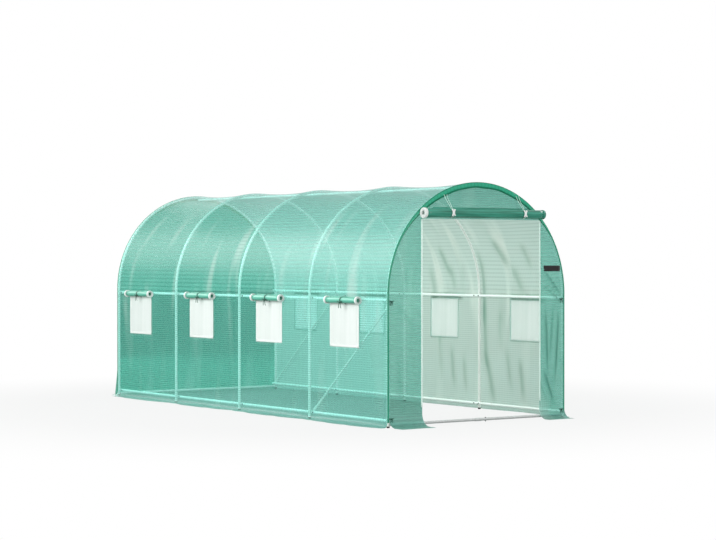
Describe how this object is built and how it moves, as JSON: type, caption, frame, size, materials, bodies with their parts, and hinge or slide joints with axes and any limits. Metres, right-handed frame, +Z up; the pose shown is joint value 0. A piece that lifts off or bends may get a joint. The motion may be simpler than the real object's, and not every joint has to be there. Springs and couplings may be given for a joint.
{
  "type": "polytunnel greenhouse",
  "caption": "Walk-in tunnel greenhouse: steel tube hoops and rails under a see-through green woven cover, with a rolled-up zip door and mesh side windows.",
  "frame": {"origin": "on the ground under the middle of the tunnel", "axes": "+X to the right seen from the front, +Y from the front end to the back end, +Z up"},
  "size_m": [2.2306, 5.2956, 2.1373],
  "materials": {
    "galvanised_tube": "galvanised, satin",
    "foot_plastic": "moulded, matt",
    "woven_cover": "laminated woven film, satin",
    "hem_tape": "sewn double film, satin",
    "rolled_cover": "laminated woven film, rolled",
    "window_mesh": "fine woven insect mesh",
    "zip_tape": "woven tape",
    "tie_tape": "woven tape",
    "toggle_plastic": "moulded, satin"
  },
  "bodies": {
    "root": {"back_base_rail": "galvanised_tube", "back_hem": "hem_tape", "back_hoop_arch": "galvanised_tube", "back_panel": "woven_cover", "back_skirt": "woven_cover", "door_roll": "rolled_cover", "door_roll_rings": "zip_tape", "door_ties": "tie_tape", "door_toggles": "toggle_plastic", "door_zips": "zip_tape", "foot_plugs": "foot_plastic", "front_base_rail": "galvanised_tube", "front_hem": "hem_tape", "front_hoop_arch": "galvanised_tube", "front_panel_left": "woven_cover", "front_panel_right": "woven_cover", "front_panel_top": "woven_cover", "front_skirt_left": "woven_cover", "front_skirt_right": "woven_cover", "inner_1_hoop_arch": "galvanised_tube", "inner_2_hoop_arch": "galvanised_tube", "inner_3_hoop_arch": "galvanised_tube", "left_base_rail": "galvanised_tube", "left_front_brace": "galvanised_tube", "left_legs": "galvanised_tube", "left_side_rail": "galvanised_tube", "left_skirt": "woven_cover", "left_wall_cover": "woven_cover", "left_window_panels": "window_mesh", "left_window_roll_rings": "zip_tape", "left_window_rolls": "rolled_cover", "left_window_ties": "tie_tape", "ridge_rail": "galvanised_tube", "right_back_brace": "galvanised_tube", "right_base_rail": "galvanised_tube", "right_legs": "galvanised_tube", "right_side_rail": "galvanised_tube", "right_skirt": "woven_cover", "right_wall_cover": "woven_cover", "right_window_panels": "window_mesh", "right_window_roll_rings": "zip_tape", "right_window_rolls": "rolled_cover", "right_window_ties": "tie_tape", "roof_cover_bay_1": "woven_cover", "roof_cover_bay_2": "woven_cover", "roof_cover_bay_3": "woven_cover", "roof_cover_bay_4": "woven_cover"}
  },
  "joints": []
}
